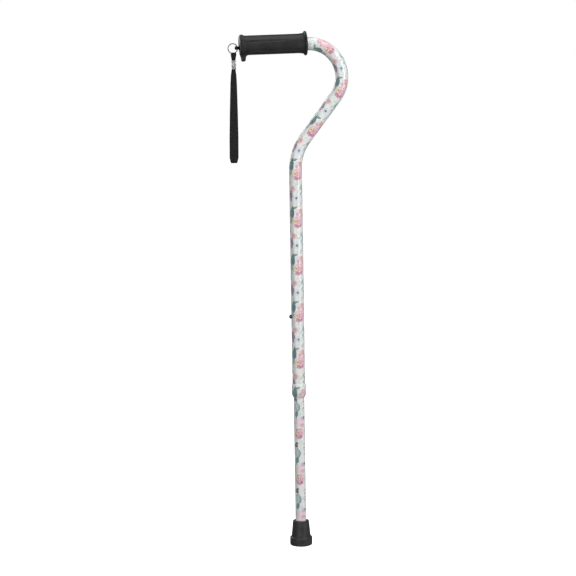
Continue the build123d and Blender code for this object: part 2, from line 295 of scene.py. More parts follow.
class Graph:
    """The node tree of one material."""

    def __init__(self, tree):
        self.tree = tree

    def add(self, kind, settings=None, inputs=None, output=0):
        """Adds one node: settings first, then its inputs. Returns the named or numbered output."""
        node = self.tree.nodes.new(kind)
        for name, value in (settings or {}).items():
            setattr(node, name, value)
        for name, value in (inputs or {}).items():
            socket = node.inputs[name]
            if isinstance(value, Value):
                self.tree.links.new(value.socket, socket)
            elif socket.type == "RGBA":
                socket.default_value = (*value[:3], 1)
            else:
                socket.default_value = value
        return Value(self, node.outputs[output])

    def use(self, group, **inputs):
        """Adds a node group and returns its colour."""
        named = {name.title(): value for name, value in inputs.items()}
        return self.add("ShaderNodeGroup", {"node_tree": group}, named)

    def math(self, operation, *values):
        return self.add("ShaderNodeMath", {"operation": operation}, dict(enumerate(values)))

    def vector(self, operation, *values):
        return self.add("ShaderNodeVectorMath", {"operation": operation}, dict(enumerate(values)))

    def mix(self, factor, first, second):
        """Mixes two colours."""
        return self.add("ShaderNodeMix", {"data_type": "RGBA"}, {0: factor, 6: first, 7: second}, 2)

    def parts(self, vector, axes="xyz"):
        """The numbers of a vector along the named axes."""
        units = {"x": (1, 0, 0), "y": (0, 1, 0), "z": (0, 0, 1)}
        return [self.dot(vector, units[axis]) for axis in axes]

    def dot(self, first, second):
        return self.add(
            "ShaderNodeVectorMath", {"operation": "DOT_PRODUCT"}, {0: first, 1: second}, "Value"
        )

    def join(self, x, y, z=0.0):
        return self.add("ShaderNodeCombineXYZ", None, {"X": x, "Y": y, "Z": z})

    def place(self):
        """Position on the piece at rest, in millimetres."""
        at = self.add("ShaderNodeTexCoord", None, None, "Object")
        return self.vector("MULTIPLY", at, (1 / MM,) * 3)

    def noise(self, at, per_mm, detail=2.0, output="Fac"):
        settings = {"noise_dimensions": "3D"}
        inputs = {"Vector": at, "Scale": per_mm, "Detail": detail}
        return self.add("ShaderNodeTexNoise", settings, inputs, output)

    def bump(self, height, strength, depth):
        """A surface normal; depth is the height of 1, in metres."""
        inputs = {"Height": height, "Strength": strength, "Distance": depth}
        return self.add("ShaderNodeBump", None, inputs, "Normal")


def node_group(name, sockets, build):
    """A node group. sockets gives each input's kind; build(graph, inputs) returns its colour."""
    tree = bpy.data.node_groups.new(name, "ShaderNodeTree")
    for label, kind in sockets.items():
        tree.interface.new_socket(label, in_out="INPUT", socket_type=f"NodeSocket{kind}")
    tree.interface.new_socket("Colour", in_out="OUTPUT", socket_type="NodeSocketColor")
    graph = Graph(tree)
    start = tree.nodes.new("NodeGroupInput")
    result = build(graph, {label: Value(graph, start.outputs[label]) for label in sockets})
    end = tree.nodes.new("NodeGroupOutput")
    tree.links.new(result.socket, end.inputs["Colour"])
    return tree


def material(name, build, constants):
    """A Principled material. build(graph) returns the inputs that vary, and constants the rest."""
    made = bpy.data.materials.new(name)
    made.use_nodes = True
    made.node_tree.nodes.clear()
    graph = Graph(made.node_tree)
    surface = graph.add("ShaderNodeBsdfPrincipled", None, {**constants, **build(graph)})
    output = made.node_tree.nodes.new("ShaderNodeOutputMaterial")
    made.node_tree.links.new(surface.socket, output.inputs["Surface"])
    return made


# ---------------------------------------------------------------- floral film


class Film:
    """Lays motifs one over another on flat film, in millimetres: u round the tube, v along it."""

    WHERE = {"Flat": "Vector", "Centre": "Vector", "Along": "Vector", "Across": "Vector"}
    LOOK = {"Grain": "Float", "Under": "Color", "Dark": "Color", "Light": "Color"}

    def __init__(self, graph, flat, place, style):
        self.graph = graph
        self.style = style
        self.half = (style.width / 2 / MM, style.repeat / 2 / MM, 1.0)
        wobble = graph.noise(place, 0.35, 2.0, "Color")
        shift = graph.vector("MULTIPLY_ADD", wobble, (2.2, 2.2, 0), (-1.1, -1.1, 0))
        self.flat = graph.vector("ADD", flat, shift)
        self.grain = graph.noise(place, 0.55, 3.0)
        plain = {**self.WHERE, **self.LOOK}
        strong = {**plain, "Strength": "Float"}
        rows = {**plain, "Reach": "Float", "Count": "Float", "Ruffle": "Float"}
        self.groups = {
            "spot": node_group("spot", strong, self.spot_paint),
            "leaf": node_group("leaf", plain, self.leaf_paint),
            "row": node_group("petal row", rows, self.row_paint),
            "glow": node_group("peony shade", strong, self.glow_paint),
        }
        washes = graph.noise(place, 0.15, 3.0)
        strokes = graph.noise(graph.vector("MULTIPLY", place, (1.3, 1.3, 0.6)), 0.33, 2.0)
        self.paint = graph.mix(washes.rise(0.48, 0.6) * 0.8, style.ground, style.mint)
        self.paint = graph.mix(strokes.rise(0.57, 0.63) * 0.6, self.paint, style.sage)
        self.paint = graph.mix(washes.rise(0.44, 0.34) * 0.6, self.paint, style.blush)

    def motif(self, graph, given):
        """Place inside a motif, from -1 to 1 along and across it, and the squared distance."""
        low = tuple(-h for h in self.half)
        away = graph.vector("SUBTRACT", given["Flat"], given["Centre"])
        near = graph.vector("WRAP", away, self.half, low)
        x = graph.dot(near, given["Along"])
        y = graph.dot(near, given["Across"])
        return x, y, x * x + y * y

    def spot_paint(self, graph, given):
        """A round painted spot, deeper in its middle."""
        _, _, distance = self.motif(graph, given)
        tone = (distance + given["Grain"] * 0.4).rise(1.1, 0.2)
        tint = graph.mix(tone, given["Light"], given["Dark"])
        return graph.mix(distance.rise(1.25, 0.6) * given["Strength"], given["Under"], tint)

    def leaf_paint(self, graph, given):
        """A leaf with a middle vein, side veins and one shaded half."""
        x, y, _ = self.motif(graph, given)
        across = abs(y)
        edge = (1 - x * x).most(0.0) * (1 - 0.3 * x)
        ribs = (x * 15 + across * -9).sin() * 0.1
        tone = (y * 0.45 + given["Grain"] * 1.1 + ribs).rise(0.15, 0.95)
        body = graph.mix(tone, given["Dark"], given["Light"])
        body = graph.mix(across.rise(0.09, 0.03) * 0.55, body, given["Dark"])
        return graph.mix((edge - across).rise(0.0, 0.12), given["Under"], body)

    def row_paint(self, graph, given):
        """One row of petals about the motif's middle."""
        x, y, distance = self.motif(graph, given)
        distance = distance.root()
        lobe = abs((y.atan2(x) * given["Count"]).cos())
        edge = (lobe.root() * given["Ruffle"] + 1 - given["Ruffle"]) * given["Reach"]
        veins = (y.atan2(x) * 34).sin() * (distance / edge) * 0.12
        tone = (distance / edge).rise(0.4, 0.92) * (lobe * 0.6 + 0.4)
        tone = tone + (given["Grain"] - 0.5) * 0.6 + veins
        petal = graph.mix(tone.most(0.0).least(1.0), given["Dark"], given["Light"])
        return graph.mix((edge - distance).rise(0.0, 0.07), given["Under"], petal)

    def glow_paint(self, graph, given):
        """Deeper petals on the lower side of a flower."""
        x, y, distance = self.motif(graph, given)
        low = (x * 0.35 + y).rise(-0.12, -0.5) * distance.rise(0.85, 0.5)
        paint = graph.mix(low * given["Strength"], given["Under"], given["Dark"])
        ring = distance.rise(0.3, 0.22) * (y + x * 0.5).rise(-0.15, -0.4)
        return graph.mix(ring * given["Strength"], paint, given["Light"])

    def lay(self, kind, u, v, turn, size, dark, light, **more):
        """Adds one motif over the paint so far; turn is in degrees."""
        lean = radians(turn)
        self.paint = self.graph.use(
            self.groups[kind],
            flat=self.flat,
            centre=(u, v, 0),
            along=(cos(lean) / size[0], -sin(lean) / size[0], 0),
            across=(sin(lean) / size[1], cos(lean) / size[1], 0),
            grain=self.grain,
            under=self.paint,
            dark=dark,
            light=light,
            **more,
        )

    def spot(self, u, v, radius, tint, strength=1.0, tall=1.0):
        paler = tuple(0.55 * t + 0.45 * g for t, g in zip(tint, self.style.ground))
        self.lay("spot", u, v, 0, (radius, radius * tall), tint, paler, strength=strength)

    def leaf(self, u, v, turn, size, wide, dark, light):
        self.lay("leaf", u, v, -turn, (size, wide), dark, light)

    def petals(self, u, v, size, reach, count, turn, dark, light, ruffle=0.24):
        self.lay("row", u, v, turn, size, dark, light, reach=reach, count=count / 2, ruffle=ruffle)

    def blossom(self, u, v, radius, inner, outer, turn=0.0, heart=None):
        """A small flower of five petals."""
        self.petals(u, v, (radius, radius), 1.0, 5, turn, inner, outer)
        self.spot(u, v, radius * 0.26, heart or self.style.heart)

    def peony(self, u, v, wide, tall, strength):
        """A full peony: three rows of petals and rose shading below its heart."""
        s = self.style
        self.petals(u, v, (wide, tall), 1.0, 7, 20, s.petal_deep, s.petal)
        self.petals(u, v - 0.6, (wide, tall), 0.78, 6, 70, s.petal_deep, s.blush)
        self.lay("glow", u, v, 0, (wide, tall), s.rose, s.petal_deep, strength=strength)
        self.petals(u - 1.2, v + 0.2, (wide, tall), 0.54, 5, 5, s.petal_deep, s.petal)

    def heart(self, u, v, radius):
        """A cream heart with a ring of stamens and a dark seed at its edge."""
        s = self.style
        self.petals(u, v, (radius, radius * 1.1), 1.0, 9, 0, s.heart, s.blush, 0.18)
        self.spot(u - radius * 0.05, v, radius * 0.92, s.heart)
        self.spot(u - radius * 0.2, v + radius * 0.45, radius * 0.24, s.seed, 0.6)
        self.spot(u + radius * 0.34, v - radius * 0.05, radius * 0.32, s.seed)


def facing_flowers(film):
    """The column of motifs that faces forwards on the upper tube."""
    s = film.style
    film.leaf(-9.4, 15.5, 84, 12.5, 5.0, s.leaf_dark, s.leaf)
    film.leaf(-4.2, 24.0, 16, 5.4, 2.0, s.leaf_dark, s.leaf)
    film.leaf(-11.5, 2.0, 70, 7.0, 3.0, s.leaf, s.leaf_light)
    film.leaf(8.5, -21.5, 60, 6.0, 2.2, s.leaf, s.leaf_light)
    film.leaf(11.2, -27.0, 115, 5.2, 2.0, s.leaf_dark, s.leaf_light)
    film.leaf(8.6, -33.0, 50, 4.4, 1.6, s.leaf, s.leaf_light)
    film.leaf(11.0, -39.5, 100, 4.6, 1.8, s.leaf, s.leaf_light)
    film.leaf(3.6, -27.5, 35, 4.6, 1.5, s.sage, s.mint)
    film.leaf(6.0, -52.0, 70, 4.8, 1.6, s.sage, s.mint)
    film.blossom(6.4, 17.5, 5.6, s.petal_deep, s.petal, 30)
    film.blossom(10.5, 11.0, 4.2, s.peach, s.blush, 60)
    film.blossom(1.0, 13.0, 3.6, s.petal_deep, s.blush, 10)
    film.peony(2.6, 0.0, 10.6, 11.8, 0.8)
    film.spot(-3.4, -8.2, 2.4, s.rose, 0.7)
    film.spot(0.8, -9.6, 2.6, s.rose, 0.6, 0.8)
    film.heart(-3.4, 0.4, 4.1)
    film.blossom(-6.4, -24.5, 5.8, s.peach, s.blush, 45, s.peach)
    film.petals(-6.0, -23.6, (3.4, 3.6), 1.0, 3, 15, s.peach, s.blush)
    film.spot(-5.2, -24.6, 1.1, s.rose, 0.6)
    film.leaf(-11.2, -37.5, 88, 10.0, 4.0, s.mauve, s.lilac)
    film.leaf(-14.5, -34.0, 80, 7.0, 3.0, s.mauve, s.lilac)
    film.spot(-10.6, -29.5, 1.9, s.mauve, 0.9)
    film.blossom(-1.0, -41.0, 8.4, s.sky, s.ground, 18, s.sky)
    film.spot(-1.0, -41.0, 2.2, s.slate)
    film.spot(12.2, -46.0, 1.7, s.ink, 0.85)
    film.spot(10.4, -49.5, 1.1, s.slate, 0.8)


def following_flowers(film, u):
    """The column of motifs that faces forwards on the lower tube."""
    s = film.style
    film.leaf(u + 9.4, 2.0, 90, 13.0, 1.9, s.sage, s.sky)
    film.blossom(u - 1.0, 17.5, 7.4, s.petal, s.blush, 35, s.blush)
    film.blossom(u + 3.4, 13.0, 4.4, s.petal_deep, s.blush, 5, s.petal)
    film.peony(u - 1.6, -1.5, 8.6, 11.6, 0.7)
    film.spot(u + 0.8, -7.0, 3.4, s.rose, 0.9)
    film.spot(u - 2.6, -9.6, 2.0, s.rose, 0.7)
    film.heart(u - 5.4, 0.4, 3.7)
    film.spot(u - 6.0, 4.8, 1.7, s.seed, 0.7)
    film.leaf(u - 6.4, -48.0, 82, 7.6, 3.4, s.leaf_dark, s.leaf)
    film.leaf(u - 5.0, -35.5, 96, 10.0, 5.2, s.leaf_dark, s.leaf_light)
    film.leaf(u - 4.4, -34.5, 96, 7.4, 3.4, s.leaf, s.sky)
    film.leaf(u - 9.4, -22.0, 70, 5.0, 2.4, s.leaf_dark, s.leaf)
    film.spot(u - 6.4, -19.0, 2.4, s.ink, 0.95)
    film.spot(u - 6.6, -24.0, 2.2, s.ink, 0.95, 1.3)
    film.blossom(u + 4.2, -57.0, 5.0, s.lilac, s.blush, 25, s.lilac)
    film.spot(u + 7.6, -55.5, 2.2, s.violet, 0.95)
    film.spot(u + 7.6, -21.0, 1.4, s.rose, 0.8)
    film.spot(u + 7.2, -27.5, 1.6, s.rose, 0.9)
    film.spot(u + 7.8, -33.0, 1.3, s.rose, 0.7)
    film.spot(u + 7.0, -38.5, 1.7, s.rose, 0.7)


def filling_flowers(film, u):
    """Smaller motifs between the two columns."""
    s = film.style
    film.leaf(u + 2.0, 14.0, 62, 8.0, 3.4, s.leaf_dark, s.leaf_light)
    film.leaf(u - 1.6, 27.0, 118, 6.6, 2.8, s.leaf, s.leaf_light)
    film.blossom(u, 3.0, 6.2, s.petal_deep, s.petal, 50)
    film.spot(u + 3.6, -8.0, 1.2, s.violet, 0.8)
    film.leaf(u + 1.0, -15.0, 95, 7.0, 2.6, s.leaf_dark, s.leaf)
    film.blossom(u - 1.4, -28.0, 5.0, s.lilac, s.sky, 12, s.violet)
    film.spot(u + 3.2, -36.0, 1.0, s.rose, 0.8)


def floral_film(style):
    """The whole print as one group, made once."""
    made = bpy.data.node_groups.get("floral film")
    if made:
        return made

    def build(graph, given):
        film = Film(graph, given["Flat"], given["Place"], style)
        half = style.width / 2 / MM
        filling_flowers(film, half / 2)
        filling_flowers(film, -half / 2)
        following_flowers(film, half)
        facing_flowers(film)
        return film.paint

    return node_group("floral film", {"Flat": "Vector", "Place": "Vector"}, build)


def shaft_lines(graph, place):
    """Distance to the right of the shaft's axis, behind it and up it."""
    return graph.parts(place)


def neck_lines(graph, place, neck):
    """The same three distances on the bent upper tube, the last one along its axis."""
    x, y, z = graph.parts(place)
    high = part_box("upper_tube")[1] / MM
    low_r, high_r, rise = (v / MM for v in (neck.low_radius, neck.high_radius, neck.rise))
    reach = high_r + neck.tube_radius / MM
    centre_x, centre_z = high.x - reach, high.z - reach
    dx, dz = sin(neck.turn), cos(neck.turn)
    shaft_top = centre_z - high_r * dx - rise * dz - low_r * dx
    bend_x, bend_z = low_r * (1 - dz), shaft_top + low_r * dx
    length_1 = shaft_top + low_r * neck.turn
    length_2 = length_1 + rise

    out_x, out_z = low_r - x, z - shaft_top
    low_side = low_r - (out_x * out_x + out_z * out_z).root()
    low_along = out_z.atan2(out_x) * low_r + shaft_top
    run_x, run_z = x - bend_x, z - bend_z
    run_along = run_x * dx + run_z * dz
    run_side = run_x * dz - run_z * dx
    top_x, top_z = x - centre_x, z - centre_z
    high_side = (top_x * top_x + top_z * top_z).root() - high_r
    high_along = (top_z.atan2(top_x) + neck.turn) * high_r + length_2

    in_bend, in_rise, in_top = z > shaft_top, run_along > 0.0, run_along > rise
    side = in_top.pick(in_rise.pick(in_bend.pick(x, low_side), run_side), high_side)
    along = in_top.pick(
        in_rise.pick(in_bend.pick(z, low_along), run_along + length_1), high_along
    )
    return side, y, along


def wrapped_print(graph, place, lines, radius, heart, shift_round=0.0):
    """The print's colour on a tube, with the distances from the tube's axis and along it."""
    side, depth, along = lines(graph, place)
    around = side.atan2(depth * -1) * radius + shift_round
    film = floral_film(bpy.context.scene.cane_print)
    print_colour = graph.use(film, flat=graph.join(around, along - heart), place=place)
    return print_colour, (side * side + depth * depth).root(), along


def film_relief(graph, place):
    """The film's faint waves, as a surface normal."""
    return graph.bump(graph.noise(place, 0.5, 2.0), 0.12, 0.1 * MM)


def printed_tube(name, radius, heart, shift_round, lines):
    """Glossy printed film over aluminium; bare metal shows on the bores and in the holes."""
    limit = radius - bpy.context.scene.cane_neck.film_depth / MM

    def build(graph):
        place = graph.place()
        print_colour, out, _ = wrapped_print(graph, place, lines, radius, heart, shift_round)
        film = out.rise(limit - 0.1, limit)
        scuff = graph.noise(place, 1.7, 4.0)
        metal = graph.mix(scuff, linear("A6A8AA"), linear("C9CBCD"))
        gloss = graph.noise(place, 0.22, 2.0)
        return {
            "Base Color": graph.mix(film, metal, print_colour),
            "Metallic": 1 - film,
            "Roughness": film.pick(0.38, 0.3) + (gloss - 0.5) * 0.08,
            "Normal": film_relief(graph, place),
        }

    return material(name, build, FILM_GLOSS)


def printed_ring(name, radius, heart):
    """The film on the lock ring, which runs down its tapered foot; its bore is bare metal."""
    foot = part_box("lock_ring")[0].z / MM
    bore, taper_height, taper_depth = radius - 1.5, 9.0, 2.6

    def build(graph):
        place = graph.place()
        print_colour, out, along = wrapped_print(graph, place, shaft_lines, radius, heart)
        taper = (along - foot).rise(taper_height, 0.0) * taper_depth
        film = (out + taper).rise(bore - 0.2, bore)
        return {
            "Base Color": graph.mix(film, linear("B4B6B8"), print_colour),
            "Roughness": (graph.noise(place, 0.25, 2.0) - 0.5) * 0.08 + 0.3,
            "Normal": film_relief(graph, place),
        }

    return material(name, build, FILM_GLOSS)


# ---------------------------------------------------------------- plain finishes


def moulded_rubber(name, tint, stipple, gloss):
    """Matt black rubber with a fine stipple and faint bloom."""

    def build(graph):
        place = graph.place()
        bloom = graph.noise(place, 0.09, 4.0)
        fine = graph.noise(place, stipple, 3.0)
        flow = graph.noise(graph.vector("MULTIPLY", place, (0.2, 1, 1)), 0.35, 3.0)
        dusty = tuple(v * 1.7 + 0.004 for v in tint)
        shade = (bloom * 0.7 + flow * 0.3).rise(0.3, 0.75)
        return {
            "Base Color": graph.mix(shade, tuple(tint), dusty),
            "Roughness": (bloom - 0.5) * 0.22 + (fine - 0.5) * 0.12 + gloss,
            "Normal": graph.bump(fine * 0.75 + flow * 0.6, 0.55, 0.12 * MM),
        }

    return material(name, build, {"IOR": 1.5, "Specular IOR Level": 0.22})


def metal(name, dark, light, roughness):
    """Plated or plain metal with fine wear in its tone and gloss."""

    def build(graph):
        place = graph.place()
        cloud = graph.noise(place, 0.3, 4.0)
        fine = graph.noise(graph.vector("MULTIPLY", place, (1, 1, 0.15)), 2.5, 3.0)
        return {
            "Base Color": graph.mix(cloud.rise(0.3, 0.7), linear(dark), linear(light)),
            "Roughness": (fine - 0.5) * 0.16 + (cloud - 0.5) * 0.1 + roughness,
            "Normal": graph.bump(fine, 0.25, 0.04 * MM),
        }

    return material(name, build, {"Metallic": 1.0})


def moulded_plastic(name, dark, light, roughness):
    """Nylon or plastic with a faint flow pattern."""

    def build(graph):
        place = graph.place()
        flow = graph.noise(place, 0.4, 3.0)
        return {
            "Base Color": graph.mix(flow, linear(dark), linear(light)),
            "Roughness": (flow - 0.5) * 0.12 + roughness,
            "Normal": graph.bump(graph.noise(place, 3.0, 2.0), 0.2, 0.05 * MM),
        }

    return material(name, build, {"IOR": 1.5})


def woven_nylon(name, tint):
    """Ribbed nylon webbing: cords along it and ribs across. Its colour is lighter on the raised
    weave and darker in the grooves and at the edges: painted highlight and painted shade.
    """
    cord_width, rib_width = 1.15, 0.95

    def build(graph):
        cloth = graph.add("ShaderNodeUVMap", {"uv_map": "cloth"}, None, "UV")
        across, along = graph.parts(graph.vector("MULTIPLY", cloth, (1 / MM,) * 3), "xy")
        cord = (across * (2 * pi / cord_width)).sin()
        rib = (along * (2 * pi / rib_width) + (cord > 0.0) * pi).sin()
        weave = rib * 0.5 + abs(cord) * 0.35
        edge = abs(across).rise(5.6, 6.7)
        wear = graph.noise(graph.join(across * 0.8, along * 0.12), 0.9, 3.0)
        pale = tuple(v * 2.0 + 0.006 for v in tint)
        # Colour: real wear, plus painted highlight on the raised weave and painted shade in its
        # grooves and along the lowered edges
        tone = (wear.rise(0.35, 0.75) * 0.7 + weave * 0.25) * (1 - edge * 0.9)
        return {
            "Base Color": graph.mix(tone, tuple(v * 0.75 for v in tint), pale),
            "Roughness": (wear - 0.5) * 0.2 + 0.62,
            "Normal": graph.bump(weave - edge * 0.6, 0.8, 0.25 * MM),
        }

    sheen = {"Sheen Weight": 0.06, "Sheen Roughness": 0.45, "Specular IOR Level": 0.2}
    return material(name, build, sheen)


# ---------------------------------------------------------------- mesh work


def held(value):
    """A number kept from 0 to 1."""
    return min(1.0, max(0.0, value))


def linked(name, data):
    """A new object in the scene, made from a mesh, a light or a camera."""
    made = bpy.data.objects.new(name, data)
    bpy.context.scene.collection.objects.link(made)
    return made


def reshape(mesh, change, source=None):
    """Fills a mesh with the faces of source, or its own, after change(work) is done to them."""
    work = bmesh.new()
    work.from_mesh(mesh if source is None else source)
    change(work)
    work.to_mesh(mesh)
    work.free()


def new_object(name, vertices, faces):
    mesh = bpy.data.meshes.new(name)
    mesh.from_pydata(vertices, [], faces)
    reshape(mesh, lambda work: bmesh.ops.recalc_face_normals(work, faces=work.faces))
    return linked(name, mesh)


def lofted(name, sections, closed=False):
    """A skin through equal loops of points, joined end to end if closed and capped if not."""
    count, size = len(sections), len(sections[0])
    vertices = [point for section in sections for point in section]
    faces = []
    for i in range(count if closed else count - 1):
        here, there = i * size, (i + 1) % count * size
        for j in range(size):
            k = (j + 1) % size
            faces.append((here + j, here + k, there + k, there + j))
    if not closed:
        faces.append(tuple(range(size)))
        faces.append(tuple(range((count - 1) * size, count * size)))
    return new_object(name, vertices, faces)


def shade_smooth(made, limit):
    """Smooth shading, with edges over the limit in degrees kept sharp."""

    def mark(work):
        for edge in work.edges:
            edge.smooth = len(edge.link_faces) == 2 and edge.calc_face_angle(0) < radians(limit)

    made.data.shade_smooth()
    reshape(made.data, mark)


def apply_modifiers(made):
    graph = bpy.context.evaluated_depsgraph_get()
    final = bpy.data.meshes.new_from_object(made.evaluated_get(graph))
    made.modifiers.clear()
    made.data = final


def paint(mesh, surface):
    """Gives a mesh one material."""
    mesh.materials.clear()
    mesh.materials.append(surface)


def finish_piece(made, body, surface, node):
    """Gives a new piece its material and body, and hides the CAD node that it replaces."""
    paint(made.data, surface)
    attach(made, body)
    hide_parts(node)


def dress(node, surface):
    """Gives a CAD node its material."""
    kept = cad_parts[node]
    if not kept.material_slots:
        kept.data.materials.append(surface)
    for slot in kept.material_slots:
        slot.material = surface


def arc(centre, radius, start, end, steps):
    """Points on an arc whose start and end are in degrees."""
    turns = [radians(start + (end - start) * i / steps) for i in range(steps + 1)]
    return [(centre[0] + radius * cos(t), centre[1] + radius * sin(t)) for t in turns]


def softened(points, times=2):
    """An open line with its corners cut off again and again, and its ends kept."""
    for _ in range(times):
        cut = [points[0]]
        for a, b in zip(points, points[1:]):
            cut.append(tuple(p * 0.75 + q * 0.25 for p, q in zip(a, b)))
            cut.append(tuple(p * 0.25 + q * 0.75 for p, q in zip(a, b)))
        points = cut + [points[-1]]
    return points


def heading(line, i):
    """The direction of a flat line at its point i."""
    before, after = line[max(0, i - 1)], line[min(len(line) - 1, i + 1)]
    return Vector((after[0] - before[0], after[1] - before[1])).normalized()


# ---------------------------------------------------------------- operators


class CANE_OT_stage(bpy.types.Operator):
    """Floor, studio lights and camera"""

    bl_idname = "cane.stage"
    bl_label = "Stage"

    def execute(self, context):
        s = context.scene.cane_stage
        self.floor(s)
        self.lights(context, s)
        self.camera(context, s)
        context.scene.view_settings.view_transform = "Standard"
        return {"FINISHED"}

    def floor(self, s):
        half = 40.0
        corners = [(-half, -half, 0), (half, -half, 0), (half, half, 0), (-half, half, 0)]
        floor = new_object("studio_floor", corners, [(0, 1, 2, 3)])

        def build(graph):
            cloud = graph.noise(graph.place(), 0.0015, 3.0)
            pale = tuple(s.floor)
            return {"Base Color": graph.mix(cloud, tuple(v * 0.97 for v in pale), pale)}

        lit = {"Roughness": 0.9, "Emission Color": (*s.floor, 1), "Emission Strength": s.floor_glow}
        floor.data.materials.append(material("studio paper", build, lit))
        floor.visible_diffuse = False
        floor.visible_glossy = False

    def lights(self, context, s):
        world = bpy.data.worlds.new("studio")
        world.use_nodes = True
        world.node_tree.nodes.clear()
        graph = Graph(world.node_tree)
        seen = graph.add("ShaderNodeLightPath", None, None, "Is Camera Ray")
        mirrored = graph.add("ShaderNodeLightPath", None, None, "Is Glossy Ray")
        strength = seen.most(mirrored * s.mirrored_sky).most(s.sky)
        sky = graph.add("ShaderNodeBackground", None, {"Color": (1, 1, 1, 1), "Strength": strength})
        output = world.node_tree.nodes.new("ShaderNodeOutputWorld")
        world.node_tree.links.new(sky.socket, output.inputs["Surface"])
        context.scene.world = world
        aim = (cad_bounds[0] + cad_bounds[1]) / 2
        for name, place, size, watts in (
            ("key light", (1.5, -1.65, 0.9), (0.45, 1.7), s.key),
            ("fill light", (-1.4, -2.2, 0.5), (1.8, 2.0), s.fill),
            ("top light", (0.2, -0.3, 2.6), (1.6, 1.6), s.top),
            ("back light", (-1.2, 2.0, 1.4), (1.2, 1.6), s.back),
        ):
            data = bpy.data.lights.new(name, "AREA")
            data.shape = "RECTANGLE"
            data.size, data.size_y = size
            data.energy = watts
            lamp = linked(name, data)
            lamp.location = place
            lamp.rotation_euler = (aim - Vector(place)).to_track_quat("-Z", "Y").to_euler()

    def camera(self, context, s):
        right = Vector((cos(s.swing), -sin(s.swing), 0))
        level = Vector((sin(s.swing), cos(s.swing), 0))
        look = level * cos(s.pitch) - Vector((0, 0, sin(s.pitch)))
        up = right.cross(look)
        side = right * cos(s.roll) + up * sin(s.roll)
        top = up * cos(s.roll) - right * sin(s.roll)
        data = bpy.data.cameras.new("camera")
        data.sensor_width = 36.0
        data.lens = s.lens
        camera = linked("camera", data)
        turn = Matrix((side, top, -look)).transposed().to_4x4()
        place = right * s.offset - level * s.distance + Vector((0, 0, s.height))
        camera.matrix_world = Matrix.Translation(place) @ turn
        context.scene.camera = camera


class CANE_OT_tubes(bpy.types.Operator):
    """Printed tubes, the lock ring and the parts inside them"""

    bl_idname = "cane.tubes"
    bl_label = "Tubes"

    def execute(self, context):
        style = context.scene.cane_print
        neck = context.scene.cane_neck
        lower_r, ring_r = (
            (high.x - low.x) / 2 / MM for low, high in map(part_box, ("lower_tube", "lock_ring"))
        )
        upper_heart, lower_heart = style.upper_heart / MM, style.lower_heart / MM
        half_round = style.width / 2 / MM

        def bent_lines(graph, place):
            return neck_lines(graph, place, neck)

        upper_r = neck.tube_radius / MM
        upper = printed_tube("floral film upper", upper_r, upper_heart, 0.0, bent_lines)
        lower = printed_tube("floral film lower", lower_r, lower_heart, half_round, shaft_lines)
        ring = printed_ring("floral film ring", ring_r, upper_heart + style.ring_shift / MM)
        dress("upper_tube", upper)
        dress("lower_tube", lower)
        dress("lock_ring", ring)
        dress("lock_collet", moulded_plastic("collet nylon", "D9D6CC", "E6E4DC", 0.45))
        dress("snap_button", metal("plated button", "3C3E40", "6A6C6E", 0.3))
        self.spring()
        return {"FINISHED"}

    def spring(self):
        """The leaf spring, cut into short lengths along its height."""
        lengths, arm_foot, bend_height = 24, 15.4, 4.6
        low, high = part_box("leaf_spring")

        def divide(work):
            bmesh.ops.triangulate(work, faces=work.faces)
            for i in range(1, lengths):
                level = Vector((0, 0, low.z + (high.z - low.z) * i / lengths))
                everything = work.verts[:] + work.edges[:] + work.faces[:]
                bmesh.ops.bisect_plane(work, geom=everything, plane_co=level, plane_no=(0, 0, 1))

        mesh = bpy.data.meshes.new("leaf_spring_strip")
        reshape(mesh, divide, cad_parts["leaf_spring"].data)
        strip = linked("leaf_spring_strip", mesh)
        paint(mesh, metal("spring steel", "6A6C70", "8C8E92", 0.32))
        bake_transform(strip)
        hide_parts("leaf_spring")


